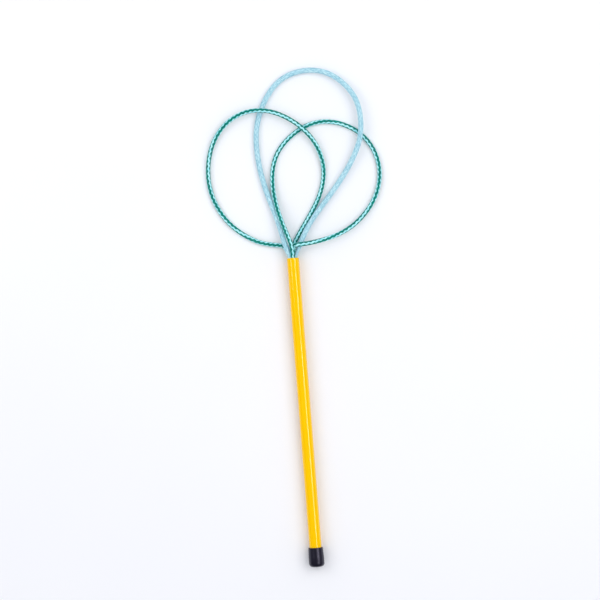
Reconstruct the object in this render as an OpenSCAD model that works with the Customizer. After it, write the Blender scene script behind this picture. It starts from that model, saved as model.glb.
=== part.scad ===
// Three-loop bubble wand: a tube handle with a push-on end cap, and three
// wire-cored cord loops whose six ends are nested in the tube's mouth.
// The wand lies flat. +Y runs along the handle to the loops, +Z is up, and the
// origin is the centre of the butt, on the handle's axis.

/* [Handle] */
// Length of the handle, from the butt to the mouth
handle_len = 320; // [200:5:450]
// Outside diameter of the tube
tube_od = 12.5; // [11:0.5:16]
// Wall of the tube
tube_wall = 0.9; // [0.7:0.1:1.3]
// Chamfer on both edges of the cut mouth
mouth_chamfer = 0.25; // [0.1:0.05:0.3]

/* [End cap] */
// Length of the cap
cap_len = 20; // [14:1:40]
// Wall of the cap along its straight band
cap_wall = 1.65; // [1.2:0.05:3]
// Thickness of the cap's closed end
cap_floor = 2.5; // [1.5:0.1:5]
// Round on the cap's closed end
cap_edge = 3.5; // [1:0.1:3.8]
// Length of the straight band, from the butt
cap_band = 10; // [6:1:12]
// How much the wall thins from the band to the rim
cap_taper = 0.45; // [0.1:0.05:0.8]
// Round on the outer edge of the rim
cap_lip = 0.5; // [0.2:0.05:0.7]

/* [Loops] */
// Diameter of the blue cord
blue_d = 5.4; // [4:0.1:6.5]
// Diameter of the two green cords
green_d = 4.6; // [3.6:0.1:5.6]
// Diameter of the stiff wire inside each cord
wire_d = 1.4; // [0.8:0.1:1.8]
// How far the cords go down into the mouth
cord_set = 18; // [12:1:40]
// How far the cords run straight out of the mouth
lead_out = 2.5; // [2:0.5:6]

/* [Anchor plug] */
// How far each wire goes down into the plug
wire_set = 12; // [6:1:30]
// Thickness of the plug behind the wires' tips
plug_back = 6; // [3:1:20]

/* [Clearances] */
// Between the tube and the cap, on the radius
cap_fit = 0.1; // [0.05:0.05:0.3]
// Between the tube and the plug, on the radius
plug_fit = 0.1; // [0.05:0.05:0.3]
// Between the tube and the nest of cords, on the radius
nest_fit = 0.15; // [0.1:0.05:0.3]
// Between cords that lie side by side
cord_gap = 0.1; // [0.05:0.05:0.3]
// Between cords that cross
layer_gap = 0.3; // [0.2:0.05:0.6]
// Round each wire, in its cord and in the plug
wire_fit = 0.2; // [0.1:0.05:0.3]
// Between the cords' ends and the plug
seat_gap = 0.2; // [0.1:0.05:0.5]

/* [Hidden] */
// Facets of the swept cords: sides of a wire and of a cord, rings in one span
wire_sides = 6;
cord_sides = 2 * wire_sides;
span_rings = 3;
round_fn = 96;
// How far a cut runs past the face it opens
cut_over = 1;

tube_r = tube_od / 2;
bore_r = tube_r - tube_wall;
cap_bore_r = tube_r + cap_fit;
cap_r = cap_bore_r + cap_wall;
rim_r = cap_r - cap_taper;

// The cord ends stand in a ring in the bore, each against its two neighbours
nest_count = 6;
nest_turn = 360 / nest_count;
nest_r = (bore_r - nest_fit) / (1 + sin(nest_turn / 2));
plug_top = -cord_set - seat_gap;
plug_len = wire_set + plug_back;
wire_hole_r = wire_d / 2 + wire_fit;

// The surface the wand lies on, and the climb from one layer of cord to the next
bed_z = -cap_r;
layer = (blue_d + green_d) / 2 + layer_gap;

// Routes of the loops beyond the mouth: sideways, along, and height in layers.
// Places in the nest count clockwise from the top, seen from the butt.
blue_ends = [5, 1];
blue_route = [
  [-6.5, 12, 1.4], [-9, 24, 1], [-13, 42, 0.5], [-19.5, 62, 0.1], [-26, 86, 0],
  [-29, 112, 0], [-28, 139, 0], [-18, 164, 0], [-2, 185, 0], [21, 194, 0.1],
  [46, 192, 0.4], [64, 180, 0.8], [78, 162, 1.05], [82, 141, 1.15], [80, 118, 1.1],
  [70, 97, 0.7], [56, 77, 0.35], [40, 58, 0.25], [24, 40, 0.45], [14, 25, 0.5],
  [8, 12, 1]
];
left_ends = [3, 4];
left_route = [
  [0.5, 12, 0], [8, 24, 0], [19, 40, 0], [31, 58, 0], [38, 76, 0],
  [40, 95, 0.1], [34, 116, 0.55], [21, 134, 1], [2, 148, 1.15], [-18, 156, 1.25],
  [-42, 155, 1], [-63, 142, 0.5], [-77, 120, 0.1], [-82, 93, 0], [-79, 68, 0],
  [-67, 44, 0], [-50, 28, 0], [-33, 18, 0], [-18, 15, 0], [-9, 14, 0.1],
  [-5, 10, 0.2]
];
right_ends = [0, 2];
right_route = [
  [0.3, 11, 2.3], [-3, 22, 2.1], [-8, 36, 1.7], [-14, 59, 0.7], [-16, 85, 0.1],
  [-10, 109, 0], [5, 125, 0], [24, 137, 0], [45, 140, 0], [66, 134, 0],
  [84, 121, 0], [95, 102, 0], [98, 80, 0], [92, 58, 0.1], [79, 40, 0.3],
  [62, 26, 0.7], [42, 18, 1.2], [23, 14.5, 1.9], [11, 13.5, 2.5], [1.5, 13.5, 1.7],
  [2.4, 8, 0.75]
];

blue_line = loop_line(blue_route, blue_ends, blue_d);
left_line = loop_line(left_route, left_ends, green_d);
right_line = loop_line(right_route, right_ends, green_d);

// A list in the opposite order
function reversed(list) = [for (i = [len(list) - 1:-1:0]) list[i]];

// Centre of one place in the nest, across the handle
function nest_place(place) = nest_r * [sin(nest_turn * place), cos(nest_turn * place)];

// Control points of one cord end, straight up the bore and out of the mouth
function lead_in(place) =
  let (at = nest_place(place), step = (cord_set + lead_out) / 3)
  [for (i = [-1:3]) [at[0], i * step - cord_set, at[1]]];

// Point of a uniform cubic spline, a share t along span i
function spline_point(ctrl, i, t) =
  (pow(1 - t, 3) * ctrl[i] + (3 * pow(t, 3) - 6 * t * t + 4) * ctrl[i + 1]
  + (3 * t + 3 * t * t - 3 * pow(t, 3) + 1) * ctrl[i + 2] + pow(t, 3) * ctrl[i + 3]) / 6;

// Centre line of a loop from one end in the mouth round to the other
function loop_line(route, ends, d) =
  let (
    laid = [for (p = route) [p[0], p[1], bed_z + d / 2 + p[2] * layer]],
    ctrl = concat(lead_in(ends[0]), laid, reversed(lead_in(ends[1]))),
    spans = len(ctrl) - 3
  )
  concat(
    [for (i = [0:spans - 1], j = [0:span_rings - 1]) spline_point(ctrl, i, j / span_rings)],
    [spline_point(ctrl, spans - 1, 1)]
  );

// Distance from a point to a stretch between two points
function reach(p, a, b) =
  let (ab = b - a, u = max(0, min(1, (p - a) * ab / (ab * ab))))
  norm(p - a - u * ab);

// Distance from a point to the nearest of several lines
function room(p, lines) = min([for (line = lines, i = [1:len(line) - 1]) reach(p, line[i - 1], line[i])]);

// First or last quarter of a line, whichever is far from ring i
function far_quarter(line, i) =
  let (last = len(line) - 1, cut = floor(last / 4))
  i < last / 2 ? [for (k = [last - cut:last]) line[k]] : [for (k = [0:cut]) line[k]];

// Radius of a soft cord at each ring: full, or squeezed to its half of the room
function cord_radii(line, d, others) = [
  for (i = [0:len(line) - 1])
    min(d / 2, (room(line[i], concat(others, [far_quarter(line, i)])) - cord_gap) / 2)
];

// Ring of points round place i on a line
function ring(line, i, r, sides) =
  let (
    ahead = line[min(i + 1, len(line) - 1)] - line[max(i - 1, 0)],
    side = cross(ahead, [0, 0, 1]) / norm(cross(ahead, [0, 0, 1])),
    up = cross(side, ahead) / norm(ahead)
  )
  [for (k = [0:sides - 1]) line[i] + r * (cos(360 * k / sides) * side + sin(360 * k / sides) * up)];

// Triangles between the rings of one wall, whose points start at index base
function wall_faces(base, rings, sides, outward) = [
  for (i = [0:rings - 2], k = [0:sides - 1], half = [0, 1])
    let (
      a = base + i * sides + k,
      b = base + i * sides + (k + 1) % sides,
      tri = half == 0 ? [a, b, b + sides] : [a, b + sides, a + sides]
    )
    outward ? tri : reversed(tri)
];

// Solid round rod along a line
module rod(line, r, sides) {
  rings = len(line);
  points = [for (i = [0:rings - 1]) each ring(line, i, r, sides)];
  first_end = [for (k = [sides - 1:-1:0]) k];
  last_end = [for (k = [0:sides - 1]) (rings - 1) * sides + k];
  polyhedron(points, concat(wall_faces(0, rings, sides, true), [first_end], [last_end]));
}

// Hollow cord along a line: outer radii by ring, and a bore for the wire.
// The outer wall has twice the sides of the bore.
module sleeve(line, radii, bore) {
  rings = len(line);
  inner = wire_sides;
  outer = cord_sides;
  split = rings * outer;
  points = concat(
    [for (i = [0:rings - 1]) each ring(line, i, radii[i], outer)],
    [for (i = [0:rings - 1]) each ring(line, i, bore, inner)]
  );
  end_faces = [
    for (end = [0, rings - 1], k = [0:inner - 1], part = [0:2])
      let (
        o = end * outer,
        n = split + end * inner,
        o0 = o + 2 * k,
        o1 = o + 2 * k + 1,
        o2 = o + (2 * k + 2) % outer,
        n0 = n + k,
        n1 = n + (k + 1) % inner,
        tri = part == 0 ? [o0, n0, o1] : part == 1 ? [o1, n0, n1] : [o1, n1, o2]
      )
      end == 0 ? tri : reversed(tri)
  ];
  polyhedron(points, concat(
    wall_faces(0, rings, outer, true),
    wall_faces(split, rings, inner, false),
    end_faces
  ));
}

// A loop's wire runs on past the cord's ends, straight down into the plug
function wire_line(line) =
  let (drop = [0, wire_set + seat_gap, 0])
  concat([line[0] - drop], line, [line[len(line) - 1] - drop]);

// Turns a shape modelled up +Z so that it runs along the handle
module along_handle() {
  rotate([-90, 0, 0]) children();
}

// Puts the mouth's own frame at the end of the handle
module at_mouth() {
  translate([0, handle_len, 0]) children();
}

// Outline of the cap, turned about the handle's axis
module cap_outline() {
  difference() {
    union() {
      square([cap_r - cap_edge, cap_band]);
      translate([0, cap_edge]) square([cap_r, cap_band - cap_edge]);
      translate([cap_r - cap_edge, cap_edge]) circle(cap_edge, $fn = round_fn);
      polygon([
        [0, cap_band], [cap_r, cap_band], [rim_r, cap_len - cap_lip],
        [rim_r - cap_lip, cap_len], [0, cap_len]
      ]);
      translate([rim_r - cap_lip, cap_len - cap_lip]) circle(cap_lip, $fn = round_fn);
    }
    translate([0, cap_floor]) square([cap_bore_r, cap_len]);
  }
}

// Glossy tube, open at the mouth and standing on the cap's floor
module handle_tube() {
  color([0.99, 0.8, 0.02])
    along_handle()
      rotate_extrude($fn = round_fn)
        polygon([
          [bore_r, cap_floor], [tube_r, cap_floor], [tube_r, handle_len - mouth_chamfer],
          [tube_r - mouth_chamfer, handle_len], [bore_r + mouth_chamfer, handle_len],
          [bore_r, handle_len - mouth_chamfer]
        ]);
}

// Soft cap pushed on to the butt
module end_cap() {
  color([0.11, 0.1, 0.14])
    along_handle()
      rotate_extrude($fn = round_fn) cap_outline();
}

// Plug set in the bore, which holds the six wire ends
module anchor_plug() {
  color([0.85, 0.83, 0.76])
    at_mouth()
      along_handle()
        difference() {
          translate([0, 0, plug_top - plug_len]) cylinder(plug_len, r = bore_r - plug_fit, $fn = round_fn);
          for (place = [0:nest_count - 1])
            rotate(nest_turn * place)
              translate([0, nest_r, plug_top - wire_set - wire_fit])
                cylinder(wire_set + wire_fit + cut_over, r = wire_hole_r, $fn = round_fn);
        }
}

// Braided cord of one loop
module loop_sleeve(line, d, others) {
  at_mouth() sleeve(line, cord_radii(line, d, others), wire_hole_r);
}

// Stiff wire of one loop
module loop_wire(line) {
  color([0.7, 0.71, 0.73]) at_mouth() rod(wire_line(line), wire_d / 2, wire_sides);
}

module blue_sleeve() {
  color([0.65, 0.86, 0.93]) loop_sleeve(blue_line, blue_d, [left_line, right_line]);
}

module blue_wire() {
  loop_wire(blue_line);
}

module left_sleeve() {
  color([0.1, 0.58, 0.52]) loop_sleeve(left_line, green_d, [blue_line, right_line]);
}

module left_wire() {
  loop_wire(left_line);
}

module right_sleeve() {
  color([0.1, 0.58, 0.52]) loop_sleeve(right_line, green_d, [blue_line, left_line]);
}

module right_wire() {
  loop_wire(right_line);
}

handle_tube();
end_cap();
anchor_plug();
blue_sleeve();
blue_wire();
left_sleeve();
left_wire();
right_sleeve();
right_wire();
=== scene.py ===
import math

import bpy
import numpy as np
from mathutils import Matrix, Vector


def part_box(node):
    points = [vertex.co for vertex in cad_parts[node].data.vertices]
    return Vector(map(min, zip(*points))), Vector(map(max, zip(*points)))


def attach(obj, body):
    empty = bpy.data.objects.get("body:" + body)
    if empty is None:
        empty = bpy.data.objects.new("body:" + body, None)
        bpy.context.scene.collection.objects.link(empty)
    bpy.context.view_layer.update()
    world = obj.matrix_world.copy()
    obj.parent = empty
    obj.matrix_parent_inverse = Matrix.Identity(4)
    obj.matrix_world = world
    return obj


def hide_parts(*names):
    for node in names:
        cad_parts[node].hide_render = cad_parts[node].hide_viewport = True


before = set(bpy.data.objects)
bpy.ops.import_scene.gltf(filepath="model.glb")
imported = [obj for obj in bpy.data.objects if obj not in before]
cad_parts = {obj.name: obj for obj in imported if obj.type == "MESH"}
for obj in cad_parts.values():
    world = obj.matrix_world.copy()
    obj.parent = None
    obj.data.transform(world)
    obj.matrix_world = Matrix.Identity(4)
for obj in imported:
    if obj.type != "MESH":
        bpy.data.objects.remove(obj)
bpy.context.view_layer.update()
mm = 0.001
print("frame loaded with", len(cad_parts), "nodes")

# The bed is the surface that the wand lies on, and the mouth is where the loops come out, in mm
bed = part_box("end_cap")[0].z / mm
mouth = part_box("handle_tube")[1].y / mm


# Node boards: plain maths on sockets, and one way to add any node

class Link:
    def __init__(self, board, socket):
        self.board = board
        self.socket = socket

    def maths(self, operation, *values):
        return self.board.add("ShaderNodeMath", {"operation": operation}, dict(enumerate(values)))

    def __add__(self, other):
        return self.maths("ADD", self, other)

    def __radd__(self, other):
        return self.maths("ADD", other, self)

    def __sub__(self, other):
        return self.maths("SUBTRACT", self, other)

    def __rsub__(self, other):
        return self.maths("SUBTRACT", other, self)

    def __mul__(self, other):
        return self.maths("MULTIPLY", self, other)

    def __rmul__(self, other):
        return self.maths("MULTIPLY", other, self)

    def __truediv__(self, other):
        return self.maths("DIVIDE", self, other)

    def __rtruediv__(self, other):
        return self.maths("DIVIDE", other, self)

    def cos(self):
        return self.maths("COSINE", self)

    def sin(self):
        return self.maths("SINE", self)

    def output(self, name):
        return Link(self.board, self.socket.node.outputs[name])


class Board:
    def __init__(self, tree):
        self.tree = tree

    def add(self, kind, settings=None, values=None, output=0):
        node = self.tree.nodes.new(kind)
        for name, setting in (settings or {}).items():
            setattr(node, name, setting)
        for name, value in (values or {}).items():
            self.feed(node.inputs[name], value)
        return Link(self, node.outputs[output] if len(node.outputs) else node.inputs[0])

    def feed(self, socket, value):
        if isinstance(value, Link):
            self.tree.links.new(value.socket, socket)
        else:
            socket.default_value = value

    def place(self):
        return self.add("ShaderNodeTexCoord", output="Object")

    def carried(self, name):
        return self.add("ShaderNodeAttribute", {"attribute_name": name}, output="Fac")

    def noise(self, where, scale, detail=2.0):
        return self.add("ShaderNodeTexNoise", {}, {"Vector": where, "Scale": scale, "Detail": detail})

    def stretched(self, where, scale):
        return self.add("ShaderNodeMapping", {}, {"Vector": where, "Scale": scale})

    def step(self, value, low, high):
        limits = {"Value": value, "From Min": low, "From Max": high}
        return self.add("ShaderNodeMapRange", {"interpolation_type": "SMOOTHSTEP"}, limits)

    def blend(self, share, first, second):
        return self.add("ShaderNodeMix", {"data_type": "RGBA"}, {0: share, 6: first, 7: second}, 2)

    def bump(self, height, depth):
        return self.add("ShaderNodeBump", {}, {"Height": height, "Distance": depth, "Strength": 1.0})


def newFinish(name, fixed):
    finish = bpy.data.materials.new(name)
    finish.use_nodes = True
    finish.node_tree.nodes.clear()
    board = Board(finish.node_tree)
    shader = board.add("ShaderNodeBsdfPrincipled", {}, fixed)
    board.add("ShaderNodeOutputMaterial", {}, {"Surface": shader})
    return finish, board, shader.socket.node.inputs


def wear(node, finish):
    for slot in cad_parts[node].material_slots:
        slot.material = finish


# Camera: straight down on the wand, which leans a little to the left in the picture

shot = {
    "middle": (4.0, 276.2),  # point in the middle of the picture, mm
    "plane": -2.7,  # height at which the scale holds, mm
    "scale": 1.035,  # mm to a pixel
    "picture": 600,  # pixels along each side
    "distance": 2500,  # mm from the lens to that height
    "nearest": 10,  # mm from the lens at which things start to show
    "roll": -4.49,  # degrees
    "sensor": 36,  # mm
}


def placeCamera():
    data = bpy.data.cameras.new("camera")
    data.sensor_width = shot["sensor"]
    data.lens = shot["sensor"] * shot["distance"] / (shot["scale"] * shot["picture"])
    data.clip_start = shot["nearest"] * mm
    camera = bpy.data.objects.new("camera", data)
    bpy.context.scene.collection.objects.link(camera)
    x, y = shot["middle"]
    camera.location = (x * mm, y * mm, (shot["plane"] + shot["distance"]) * mm)
    camera.rotation_euler = (0, 0, math.radians(shot["roll"]))
    bpy.context.scene.camera = camera


placeCamera()
print("camera placed")


# Light: a soft box on each side of the camera, a strip in each that only the gloss shows, and a pale room

boxes = {  # tilt in degrees from straight up, along, size and reach in metres
    "rightBox": {"tilt": 33, "along": 0.56, "size": (1.10, 1.40), "reach": 1.5, "glow": 1.8, "gloss": False},
    "leftBox": {"tilt": -40, "along": 0.70, "size": (1.00, 1.10), "reach": 1.5, "glow": 1.7, "gloss": False},
    "rightStrip": {"tilt": 33, "along": 0.52, "size": (0.40, 1.30), "reach": 1.4, "glow": 9.0, "gloss": True},
    "leftStrip": {"tilt": -40, "along": 0.68, "size": (0.34, 0.75), "reach": 1.4, "glow": 8.6, "gloss": True},
}
room = {"colour": (0.93, 0.95, 1.0), "glow": 0.77}


def lightUp():
    for name, box in boxes.items():
        wide, long = box["size"]
        data = bpy.data.lights.new(name, "AREA")
        data.shape = "RECTANGLE"
        data.size = wide
        data.size_y = long
        data.energy = box["glow"] * math.pi * wide * long  # the same glow over any size
        lamp = bpy.data.objects.new(name, data)
        bpy.context.scene.collection.objects.link(lamp)
        tilt = math.radians(box["tilt"])
        lamp.location = (math.sin(tilt) * box["reach"], box["along"], math.cos(tilt) * box["reach"])
        lamp.rotation_euler = (0, tilt, 0)
        lamp.visible_glossy = box["gloss"]
        lamp.visible_diffuse = not box["gloss"]
    world = bpy.data.worlds.new("paleRoom")
    bpy.context.scene.world = world
    world.use_nodes = True
    back = world.node_tree.nodes["Background"].inputs
    back["Color"].default_value = (*room["colour"], 1)
    back["Strength"].default_value = room["glow"]
    world.cycles_visibility.glossy = False  # dark room in the gloss
    bpy.context.scene.view_settings.view_transform = "Standard"


lightUp()
print("lights set")


# Floor: plain and pale, with a trace of cloud

floor = {
    "half": 4.0,  # m
    "colour": (0.90, 0.90, 0.92, 1),
    "shade": (0.86, 0.86, 0.885, 1),
    "clouds": 3.0,  # to a metre
    "roughness": 0.85,
    "gloss": 0.2,
}


def layFloor():
    half = floor["half"]
    corners = [(x * half, y * half, bed * mm) for x, y in ((-1, -1), (1, -1), (1, 1), (-1, 1))]
    mesh = bpy.data.meshes.new("floor")
    mesh.from_pydata(corners, [], [(0, 1, 2, 3)])
    piece = bpy.data.objects.new("floor", mesh)
    bpy.context.scene.collection.objects.link(piece)
    fixed = {"Roughness": floor["roughness"], "Specular IOR Level": floor["gloss"]}
    finish, board, shader = newFinish("paleFloor", fixed)
    cloud = board.noise(board.place(), floor["clouds"])
    board.feed(shader["Base Color"], board.blend(cloud, floor["colour"], floor["shade"]))
    mesh.materials.append(finish)


layFloor()
print("floor laid")


# Handle tube: glossy extruded plastic, with faint draw lines along it, light scuffs and a paler cut end

tube = {
    "deep": (0.98, 0.54, 0.001, 1),
    "bright": (1.0, 0.60, 0.002, 1),
    "cut": (1.0, 0.72, 0.08, 1),
    "cutDepth": 0.35,  # mm of the mouth's end that the saw left paler
    "cutShare": 0.8,  # of the paler colour on the cut
    "lineWidth": 1.1,  # mm across a draw line
    "lineLength": 160,  # mm
    "lineHeight": 0.005,  # mm
    "clouds": 28.0,  # to a metre
    "scuffs": (900, 260, 900),  # to a metre, across, along and through
    "scuffLevels": (0.62, 0.74),  # of the noise, where a scuff starts and where it is full
    "scuffHeight": 0.2,  # share of a draw line's height
    "gloss": 0.3,
    "roughness": {"plain": 0.07, "lines": 0.04, "scuffs": 0.08, "cut": 0.3},
}


def tubeFinish():
    finish, board, shader = newFinish("yellowTube", {"Specular IOR Level": tube["gloss"]})
    where = board.place()
    across = 1 / (tube["lineWidth"] * mm)
    drawn = board.stretched(where, (across, 1 / (tube["lineLength"] * mm), across))
    lines = board.noise(drawn, 1.0, 3.0)
    cloud = board.noise(where, tube["clouds"], 3.0)
    marks = board.noise(board.stretched(where, tube["scuffs"]), 1.0, 4.0)
    scuff = board.step(marks, *tube["scuffLevels"])
    along = board.add("ShaderNodeSeparateXYZ", {}, {0: where}, "Y")
    cut = board.step(along, (mouth - tube["cutDepth"]) * mm, mouth * mm)
    colour = board.blend(lines * 0.5 + cloud * 0.5, tube["deep"], tube["bright"])
    board.feed(shader["Base Color"], board.blend(cut * tube["cutShare"], colour, tube["cut"]))
    rough = tube["roughness"]
    worn = rough["plain"] + lines * rough["lines"] + scuff * rough["scuffs"]
    board.feed(shader["Roughness"], worn + cut * rough["cut"])
    relief = lines + scuff * tube["scuffHeight"]
    board.feed(shader["Normal"], board.bump(relief, tube["lineHeight"] * mm))
    return finish


wear("handle_tube", tubeFinish())


# End cap: soft black vinyl with a fine grain, a rubbed lip and a cloudy bloom

cap = {
    "dark": (0.005, 0.0045, 0.012, 1),
    "light": (0.012, 0.011, 0.025, 1),
    "rubbed": (0.035, 0.033, 0.046, 1),
    "grain": 0.35,  # mm
    "grainShare": 0.6,  # of the relief, beside the clouds
    "clouds": 160.0,  # to a metre
    "relief": 0.05,  # mm
    "rub": 0.8,  # mm of the lip that shows wear
    "rubLeast": 0.4,  # share of the wear that shows everywhere on the lip
    "rubClouds": 0.6,  # share that comes and goes with the clouds
    "ior": 1.55,
    "glossTint": (0.82, 0.78, 1.0, 1),
    "roughness": {"plain": 0.30, "clouds": 0.1, "rub": 0.15},
}


def capFinish():
    finish, board, shader = newFinish("blackVinyl", {"IOR": cap["ior"], "Specular Tint": cap["glossTint"]})
    where = board.place()
    grain = board.noise(where, 1 / (cap["grain"] * mm))
    cloud = board.noise(where, cap["clouds"], 3.0)
    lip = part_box("end_cap")[1].y
    along = board.add("ShaderNodeSeparateXYZ", {}, {0: where}, "Y")
    patchy = cap["rubLeast"] + cloud * cap["rubClouds"]
    rub = board.step(along, lip - cap["rub"] * mm, lip) * patchy
    colour = board.blend(cloud, cap["dark"], cap["light"])
    board.feed(shader["Base Color"], board.blend(rub, colour, cap["rubbed"]))
    rough = cap["roughness"]
    board.feed(shader["Roughness"], rough["plain"] + cloud * rough["clouds"] + rub * rough["rub"])
    board.feed(shader["Normal"], board.bump(grain * cap["grainShare"] + cloud, cap["relief"] * mm))
    return finish


wear("end_cap", capFinish())


# Plug: cast resin that holds the wire ends, out of sight in the mouth

plug = {
    "pale": (0.74, 0.71, 0.62, 1),
    "stained": (0.60, 0.55, 0.43, 1),
    "clouds": 320.0,  # to a metre
    "relief": 0.08,  # mm
    "ior": 1.5,
    "roughness": {"plain": 0.5, "clouds": 0.2},
}


def plugFinish():
    finish, board, shader = newFinish("plugResin", {"IOR": plug["ior"]})
    cloud = board.noise(board.place(), plug["clouds"], 4.0)
    board.feed(shader["Base Color"], board.blend(cloud, plug["pale"], plug["stained"]))
    rough = plug["roughness"]
    board.feed(shader["Roughness"], rough["plain"] + cloud * rough["clouds"])
    board.feed(shader["Normal"], board.bump(cloud, plug["relief"] * mm))
    return finish


wear("anchor_plug", plugFinish())


# Core wires: galvanised, with a spangle in the zinc

wire = {
    "zinc": (0.62, 0.63, 0.65, 1),
    "dull": (0.42, 0.43, 0.45, 1),
    "spangle": 1.2,  # mm
    "roughness": {"plain": 0.32, "spangle": 0.2},
}


def wireFinish():
    finish, board, shader = newFinish("coreWire", {"Metallic": 1.0})
    crystals = {"Vector": board.place(), "Scale": 1 / (wire["spangle"] * mm)}
    spangle = board.add("ShaderNodeTexVoronoi", {}, crystals)
    board.feed(shader["Base Color"], board.blend(spangle, wire["zinc"], wire["dull"]))
    rough = wire["roughness"]
    board.feed(shader["Roughness"], rough["plain"] + spangle * rough["spangle"])
    return finish


wires = wireFinish()
for node in ("blue_wire", "left_wire", "right_wire"):
    wear(node, wires)
print("handle, cap, plug and wires finished")


# Yarn: loosely plied fibres that run along each carrier of the braid, with slow changes of tone, and painted
# shade at its sides and where it goes under, which turns to painted light where its weight is below zero

fibres = {
    "count": 26,  # round a yarn
    "twist": 14,  # mm in which a fibre goes once round its yarn
    "length": 2.2,  # mm
    "depth": 0.05,  # mm
    "apart": 7.3,  # steps in the noise from one yarn's fibres to the next one's
    "toneLength": 9,  # mm
    "toneApart": 5.1,  # steps in the noise from one yarn's tone to the next one's
    "darkLevels": (0.3, 0.85),  # of fibre, tone and painted shade, where the dark colour starts and is full
    "gloss": 0.1,
    "roughness": {"plain": 0.72, "fibre": 0.2},
}


def yarnFinish(name, yarns):
    finish, board, shader = newFinish(name, {"Specular IOR Level": fibres["gloss"]})
    around = board.carried("around")
    along = board.carried("along")
    yarn = board.carried("yarn")
    crown = board.carried("crown")
    across = (around + along / (fibres["twist"] * mm)) * fibres["count"]
    down = along / (fibres["length"] * mm)
    spot = board.add("ShaderNodeCombineXYZ", {}, {0: across, 1: down, 2: yarn * fibres["apart"]})
    fibre = board.noise(spot, 1.0)
    slow = along / (fibres["toneLength"] * mm)
    patch = board.add("ShaderNodeCombineXYZ", {}, {0: yarn * fibres["toneApart"], 1: slow})
    tone = board.noise(patch, 1.0)
    edge = (around * math.tau).cos()
    # painted shade on the yarn's sides and where it goes under the crossing yarns; a weight below zero paints
    # light there instead
    shade = edge * edge * yarns["edge"] + (1 - crown) * yarns["paintedDipShade"]
    share = board.step(fibre * 0.5 + tone * 0.5 + shade, *fibres["darkLevels"])
    board.feed(shader["Base Color"], board.blend(share, yarns["light"], yarns["dark"]))
    rough = fibres["roughness"]
    board.feed(shader["Roughness"], rough["plain"] + fibre * rough["fibre"])
    board.feed(shader["Normal"], board.bump(fibre, fibres["depth"] * mm))
    return finish


# The side and dip weights paint shade on a yarn at its sides and where it goes under, and paint light there
# where they are below zero, as on the mint
teal = {"light": (0.0, 0.265, 0.215, 1), "dark": (0.0, 0.12, 0.095, 1), "edge": 0.15, "paintedDipShade": 0.15}
# mint: painted light on its sides and where it goes under, where shade would fall
mint = {"light": (0.49, 0.93, 0.96, 1), "dark": (0.08, 0.60, 0.67, 1), "edge": -0.05, "paintedDipShade": -0.25}
blue = {"light": (0.61, 0.86, 0.92, 1), "dark": (0.22, 0.51, 0.64, 1), "edge": 0.15, "paintedDipShade": 0.2}
tealYarn = yarnFinish("tealYarn", teal)
mintYarn = yarnFinish("mintYarn", mint)
blueYarn = yarnFinish("blueYarn", blue)
print("yarns finished")


# Routes of the three loops, each from its place in the nest of cord ends in the mouth to its other place

nest = {
    "bore": 5.35,  # mm, the tube's inner radius
    "fit": 0.15,  # mm
    "places": 6,
    "set": 18,  # mm of each end in the tube
    "out": 2.5,  # mm of each end that stands straight out of the mouth
    "strides": 3,  # equal steps along a straight end
}
gaps = {"layer": 0.3, "cord": 0.1}  # mm between crossing layers, and between cords side by side

blueLoop = {
    "across": 5.4,  # mm
    "ends": (5, 1),  # places in the nest, clockwise from the top as seen from the butt
    "yarnsEachWay": 8,
    "route": [  # mm to the right, mm beyond the mouth, and height in layers of cord above the bed
        (-6.5, 12, 1.4), (-9, 24, 1), (-13, 42, 0.5), (-19.5, 62, 0.1), (-26, 86, 0),
        (-29, 112, 0), (-28, 139, 0), (-18, 164, 0), (-2, 185, 0), (21, 194, 0.1),
        (46, 192, 0.4), (64, 180, 0.8), (78, 162, 1.05), (82, 141, 1.15), (80, 118, 1.1),
        (70, 97, 0.7), (56, 77, 0.35), (40, 58, 0.25), (24, 40, 0.45), (14, 25, 0.5),
        (8, 12, 1),
    ],
    "turns": [(0, 0), (250, 120), (510, 60)],  # mm along the cord, and degrees of the pattern from the top
    "waves": [(0, 0), (528, 100)],  # mm along the cord, and waves of the pattern up to there
    "node": "blue_sleeve",
    "slot": "blue_braid",
    "yarns": {  # which way they wind, their finish, and their width beside the room for them
        "blue_right_yarns": (1, blueYarn, 1.04),
        "blue_left_yarns": (-1, blueYarn, 0.98),
    },
}
leftLoop = {
    "across": 4.6,
    "ends": (3, 4),
    "yarnsEachWay": 6,
    "route": [
        (0.5, 12, 0), (8, 24, 0), (19, 40, 0), (31, 58, 0), (38, 76, 0),
        (40, 95, 0.1), (34, 116, 0.55), (21, 134, 1), (2, 148, 1.15), (-18, 156, 1.25),
        (-42, 155, 1), (-63, 142, 0.5), (-77, 120, 0.1), (-82, 93, 0), (-79, 68, 0),
        (-67, 44, 0), (-50, 28, 0), (-33, 18, 0), (-18, 15, 0), (-9, 14, 0.1),
        (-5, 10, 0.2),
    ],
    "turns": [
        (0, 48), (60, 50), (90, 40), (120, 16), (142, -20), (165, -66),
        (187, -64), (195, -72), (210, -94), (240, -120), (270, -140), (300, -190),
        (330, -222), (375, -276), (397, -346), (410, -354), (463, -354),
    ],
    "waves": [
        (0, -9), (45, 0.8), (112.5, 15.5), (195, 32.55),
        (285, 50.6), (367.5, 66.7), (427.5, 78.8), (463, 86),
    ],
    "node": "left_sleeve",
    "slot": "green_braid",
    "yarns": {
        "left_teal_yarns": (1, tealYarn, 1.14),
        "left_mint_yarns": (-1, mintYarn, 0.88),
    },
}
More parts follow.
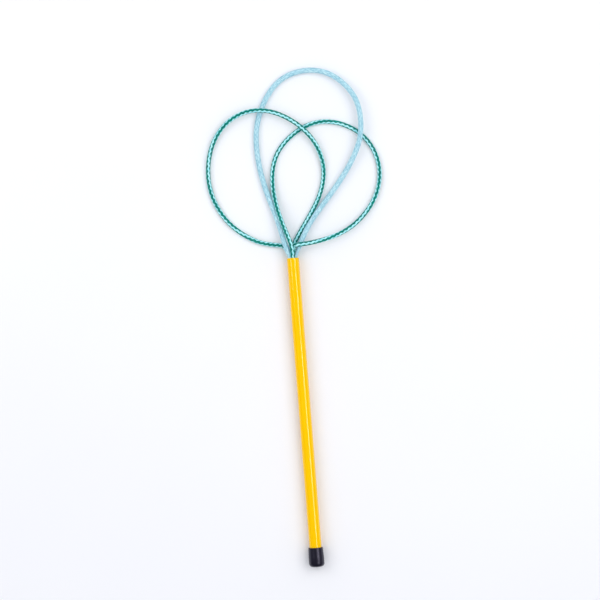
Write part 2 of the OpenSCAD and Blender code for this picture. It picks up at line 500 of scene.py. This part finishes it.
rightLoop = {
    "across": 4.6,
    "ends": (0, 2),
    "yarnsEachWay": 6,
    "route": [
        (0.3, 11, 2.3), (-3, 22, 2.1), (-8, 36, 1.7), (-14, 59, 0.7), (-16, 85, 0.1),
        (-10, 109, 0), (5, 125, 0), (24, 137, 0), (45, 140, 0), (66, 134, 0),
        (84, 121, 0), (95, 102, 0), (98, 80, 0), (92, 58, 0.1), (79, 40, 0.3),
        (62, 26, 0.7), (42, 18, 1.2), (23, 14.5, 1.9), (11, 13.5, 2.5), (1.5, 13.5, 1.7),
        (2.4, 8, 0.75),
    ],
    "turns": [
        (0, 77), (30, 77), (45, 89), (52, 100), (82, 110), (112, 148), (135, 184),
        (150, 160), (172, 152), (195, 110), (210, 82), (225, 78), (255, 92), (285, 124),
        (305, 114), (330, 58), (337, 44), (360, 22), (390, -62), (442, -108),
    ],
    "waves": [
        (0, -5), (30, 0.95), (60, 7), (150, 24.5), (165, 27.55),
        (232, 40.75), (285, 51.05), (340, 61.8), (442, 82),
    ],
    "node": "right_sleeve",
    "slot": "green_braid",
    "yarns": {
        "right_teal_yarns": (1, tealYarn, 1.14),
        "right_mint_yarns": (-1, mintYarn, 0.88),
    },
}
loops = (blueLoop, leftLoop, rightLoop)
layer = (blueLoop["across"] + leftLoop["across"]) / 2 + gaps["layer"]


def leadIn(place):
    turn = math.tau * place / nest["places"]
    out = (nest["bore"] - nest["fit"]) / (1 + math.sin(math.pi / nest["places"]))
    stride = (nest["set"] + nest["out"]) / nest["strides"]
    stops = [i * stride - nest["set"] for i in range(-1, nest["strides"] + 1)]
    return [(out * math.sin(turn), y, out * math.cos(turn)) for y in stops]


# A uniform cubic spline, which starts and ends straight
def centreLine(loop, steps=60):
    laid = [(x, y, bed + loop["across"] / 2 + high * layer) for x, y, high in loop["route"]]
    first, last = loop["ends"]
    ctrl = np.array(leadIn(first) + laid + leadIn(last)[::-1])
    t = np.linspace(0, 1, steps, endpoint=False)[:, None]
    weights = ((1 - t) ** 3, 3 * t**3 - 6 * t**2 + 4, 3 * t + 3 * t**2 - 3 * t**3 + 1, t**3)
    spans = [sum(w * ctrl[i + j] for j, w in enumerate(weights)) / 6 for i in range(len(ctrl) - 3)]
    return np.concatenate(spans) + (0, mouth, 0)


def evenly(line, step):
    along = np.concatenate(([0], np.cumsum(np.linalg.norm(np.diff(line, axis=0), axis=1))))
    at = np.linspace(0, along[-1], round(along[-1] / step) + 1)
    return at, np.stack([np.interp(at, along, line[:, i]) for i in range(3)], 1)


def roomFor(points, neighbours):
    other = np.concatenate(neighbours)
    return np.array([np.sqrt(((other - p) ** 2).sum(1).min()) for p in points])


centreLines = [centreLine(loop) for loop in loops]


# A soft cord keeps its full width, or is squeezed to its half of the room between it and the others
def squeezed(loop, points):
    mine = loops.index(loop)
    others = [line for i, line in enumerate(centreLines) if i != mine]
    quarter = len(centreLines[mine]) // 4
    half = len(points) // 2
    early = roomFor(points[:half], others + [centreLines[mine][-quarter:]])
    late = roomFor(points[half:], others + [centreLines[mine][:quarter]])
    return np.minimum(1, (np.concatenate((early, late)) - gaps["cord"]) / loop["across"])


def pathMesh(loop, step):
    at, points = evenly(centreLines[loops.index(loop)], step)
    ahead = np.gradient(points, axis=0)
    side = np.cross(ahead, (0, 0, 1))
    side /= np.linalg.norm(side, axis=1)[:, None]
    up = np.cross(side, ahead)
    up /= np.linalg.norm(up, axis=1)[:, None]
    middle = 90 / loop["yarnsEachWay"]  # degrees from the first yarn to the middle of its line
    turned = np.interp(at, *zip(*loop["turns"])) - middle
    wound = np.interp(at, *zip(*loop["waves"])) / loop["yarnsEachWay"]
    mesh = bpy.data.meshes.new("path")
    mesh.from_pydata(points * mm, [(i, i + 1) for i in range(len(points) - 1)], [])
    kept = {
        "along": at * mm,
        "fit": squeezed(loop, points),
        "turn": np.radians(turned),
        "wound": wound,
        "side": side,
        "up": up,
    }
    for name, values in kept.items():
        flat = values.ndim == 1
        attribute = mesh.attributes.new(name, "FLOAT" if flat else "FLOAT_VECTOR", "POINT")
        attribute.data.foreach_set("value" if flat else "vector", values.astype(np.float32).ravel())
    return mesh


# Braid: each yarn winds round the cord and weaves over two and under two of those that wind the other way

braid = {
    "relief": 0.13,  # share of the cord's radius that a yarn rises and dips
    "halfThick": 0.055,  # share of the cord's radius
    "sides": 12,
    "step": 0.6,  # mm between the rings of a yarn
}


def braidTree():
    tree = bpy.data.node_groups.new("braidedYarns", "GeometryNodeTree")
    face = tree.interface
    face.new_socket("Path", in_out="INPUT", socket_type="NodeSocketGeometry")
    kinds = {
        "Yarns": "Int", "Hand": "Float", "Waist": "Float", "Relief": "Float",
        "Beats": "Int", "Shift": "Float", "Half Wide": "Float", "Half Thick": "Float",
        "Sag": "Float", "Spread": "Float", "Sides": "Int", "Finish": "Material",
    }
    for name, kind in kinds.items():
        face.new_socket(name, in_out="INPUT", socket_type="NodeSocket" + kind)
    face.new_socket("Yarns Made", in_out="OUTPUT", socket_type="NodeSocketGeometry")
    board = Board(tree)
    given = {s.name: Link(board, s) for s in tree.nodes.new("NodeGroupInput").outputs}

    def carried(name, kind="FLOAT"):
        return board.add("GeometryNodeInputNamedAttribute", {"data_type": kind}, {"Name": name})

    def flattened(wave):  # a wave with broader tops
        return wave * (1.5 - wave * wave * 0.5)

    def scaled(vector, size):
        return board.add("ShaderNodeVectorMath", {"operation": "SCALE"}, {0: vector, "Scale": size})

    def kept(geometry, name, value):
        stored = {"Geometry": geometry, "Name": name, "Value": value}
        return board.add("GeometryNodeStoreNamedAttribute", {}, stored)

    def outward(angle):
        return board.add("ShaderNodeVectorMath", {"operation": "ADD"}, {
            0: scaled(carried("up", "FLOAT_VECTOR"), angle.cos()),
            1: scaled(carried("side", "FLOAT_VECTOR"), angle.sin()),
        })

    path = board.add("GeometryNodeMeshToCurve", {}, {"Mesh": given["Path"]})
    copies = board.add("GeometryNodeDuplicateElements", {"domain": "SPLINE"}, {
        0: path, "Amount": given["Yarns"],
    })
    numbered = kept(copies, "yarn", copies.output("Duplicate Index"))
    spin = (carried("yarn") / given["Yarns"] + carried("wound") * given["Hand"]) * math.tau
    middle = outward(spin + carried("turn"))
    reach = scaled(middle, given["Waist"] * carried("fit"))
    wound = board.add("GeometryNodeSetPosition", {}, {"Geometry": numbered, "Offset": reach})
    facing = board.add("GeometryNodeSetCurveNormal", {"mode": "FREE"}, {"Curve": wound, "Normal": middle})

    # Section of a yarn: a flat oval that follows the cord's round
    circle = board.add("GeometryNodeCurvePrimitiveCircle", {}, {"Resolution": given["Sides"], "Radius": 1.0})
    spot = board.add("GeometryNodeInputPosition")
    wide = board.add("ShaderNodeSeparateXYZ", {}, {0: spot}, "X")
    high = wide.output("Y")
    section = board.add("ShaderNodeCombineXYZ", {}, {
        0: flattened(high) * given["Half Thick"] - wide * wide * given["Sag"],
        1: wide * given["Half Wide"] * -1,
    })
    share = board.add("GeometryNodeInputIndex") / given["Sides"]
    marked = kept(kept(circle, "around", share), "lean", wide * -1)
    shaped = board.add("GeometryNodeSetPosition", {}, {"Geometry": marked, "Position": section})
    swept = board.add("GeometryNodeCurveToMesh", {}, {
        "Curve": facing, "Profile Curve": shaped, "Scale": carried("fit"), "Fill Caps": True,
    })

    # Weave: each side of a yarn rises and dips where it meets the yarns that cross it
    lean = carried("lean") * given["Spread"]
    beat = (spin + lean / 2) * given["Beats"] + given["Shift"]
    crowned = kept(swept, "crown", flattened(flattened(beat.cos())))
    lift = carried("crown") * given["Relief"] * carried("fit")
    rise = scaled(outward(spin + carried("turn") + lean), lift)
    woven = board.add("GeometryNodeSetPosition", {}, {"Geometry": crowned, "Offset": rise})
    smooth = board.add("GeometryNodeSetShadeSmooth", {}, {"Geometry": woven})
    real = board.add("GeometryNodeRealizeInstances", {}, {"Geometry": smooth})
    dressed = board.add("GeometryNodeSetMaterial", {}, {"Geometry": real, "Material": given["Finish"]})
    board.add("NodeGroupOutput", {}, {"Yarns Made": dressed})
    return tree


def braidPiece(name, loop, tree, hand, finish, overlap):
    radius = loop["across"] / 2 * mm
    top = 1 - braid["halfThick"]
    count = loop["yarnsEachWay"]
    (start, first), (end, last) = loop["waves"][0], loop["waves"][-1]
    lay = (end - start) / (last - first) * count * mm  # length in which a yarn goes once round
    slope = math.atan(math.tau * top * radius / lay)  # of a yarn to the cord
    halfWide = overlap * math.pi / count * top * math.cos(slope) * radius
    values = {
        "Yarns": count,
        "Hand": hand,
        "Waist": (top - braid["relief"]) * radius,
        "Relief": braid["relief"] * radius,
        "Beats": count // 2,  # times that a yarn comes to the top in a turn
        "Shift": -math.pi / 4 if hand > 0 else math.pi * 3 / 4,  # one way is on top where the other is under
        "Half Wide": halfWide,
        "Half Thick": braid["halfThick"] * radius,
        "Sag": (halfWide * math.cos(slope)) ** 2 / (2 * top * radius),
        "Spread": halfWide / (top * radius) * math.cos(2 * slope) / math.cos(slope),
        "Sides": braid["sides"],
        "Finish": finish,
    }
    piece = bpy.data.objects.new(name, pathMesh(loop, braid["step"]))
    bpy.context.scene.collection.objects.link(piece)
    grown = piece.modifiers.new("braid", "NODES")
    grown.node_group = tree
    keys = {item.name: item.identifier for item in tree.interface.items_tree if item.in_out == "INPUT"}
    for key, value in values.items():
        grown[keys[key]] = value
    graph = bpy.context.evaluated_depsgraph_get()
    woven = piece.evaluated_get(graph)
    mesh = bpy.data.meshes.new_from_object(woven, preserve_all_data_layers=True, depsgraph=graph)
    piece.modifiers.clear()
    piece.data = mesh
    for spare in ("side", "up", "turn", "wound", "fit", "lean"):
        mesh.attributes.remove(mesh.attributes[spare])
    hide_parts(loop["node"])
    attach(piece, "root")
    print(name, "has", len(mesh.polygons), "faces")


tree = braidTree()
for loop in loops:
    for name, (hand, finish, overlap) in loop["yarns"].items():
        braidPiece(name, loop, tree, hand, finish, overlap)
